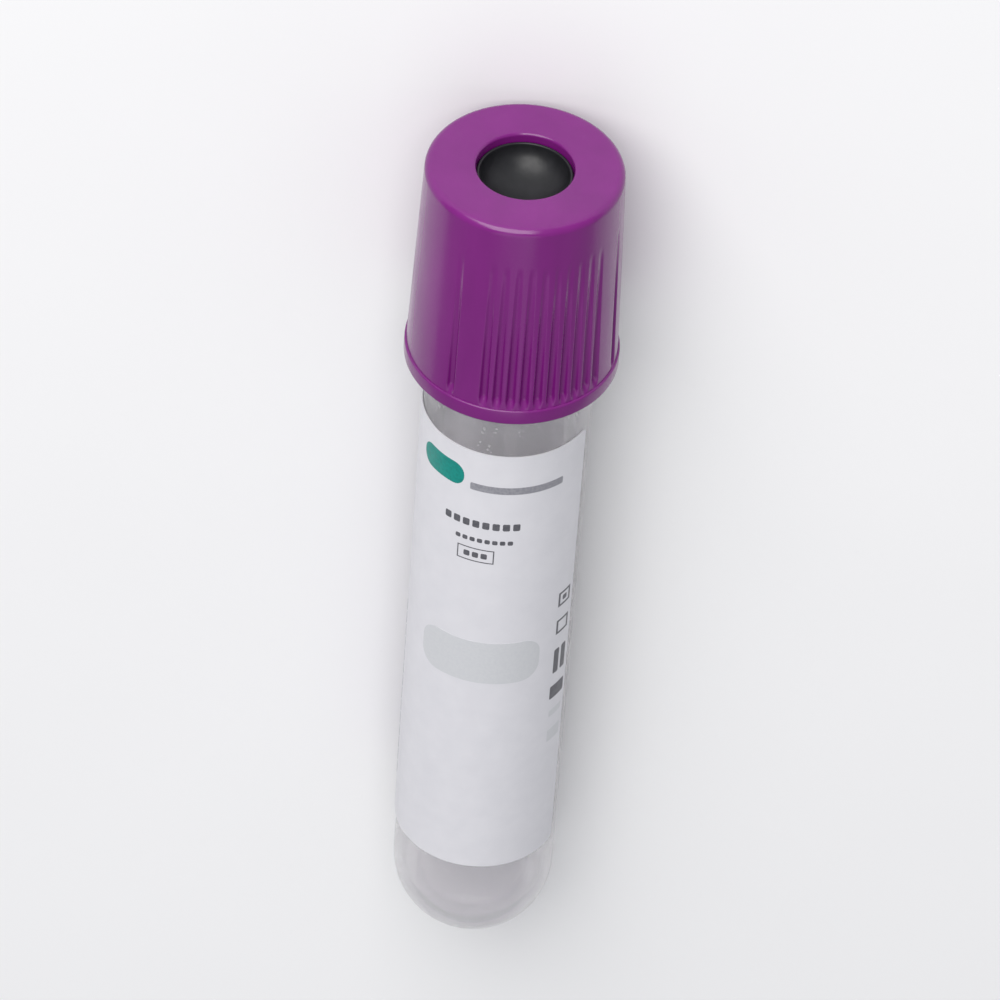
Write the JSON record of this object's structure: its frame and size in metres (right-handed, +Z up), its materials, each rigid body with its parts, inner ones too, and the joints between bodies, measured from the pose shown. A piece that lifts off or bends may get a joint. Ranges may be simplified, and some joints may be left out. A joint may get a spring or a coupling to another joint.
{
  "type": "blood collection tube",
  "caption": "Clear round-bottomed sample tube with a ribbed purple pull-off closure, rubber stopper and wrapped paper label, lying on its side.",
  "frame": {"origin": "on the floor, under the middle of the lying tube", "axes": "+X towards the closure's end, along the tube as seen from above; +Z up, out of the printed front"},
  "size_m": [0.0802, 0.0164, 0.0164],
  "materials": {
    "clear_plastic": "clear, glossy",
    "label_paper": "coated, semi-gloss",
    "stopper_rubber": "matte with a soft sheen",
    "cap_plastic": "satin gloss"
  },
  "bodies": {
    "tube": {"tube": "clear_plastic", "label": "label_paper"},
    "closure": {"stopper": "stopper_rubber", "cap": "cap_plastic"}
  },
  "joints": [
    {"name": "closure_pull", "type": "slide", "parent": "tube", "child": "closure", "axis": [0.9995, 0, 0.0316], "range_m": [0, 0.03]}
  ]
}
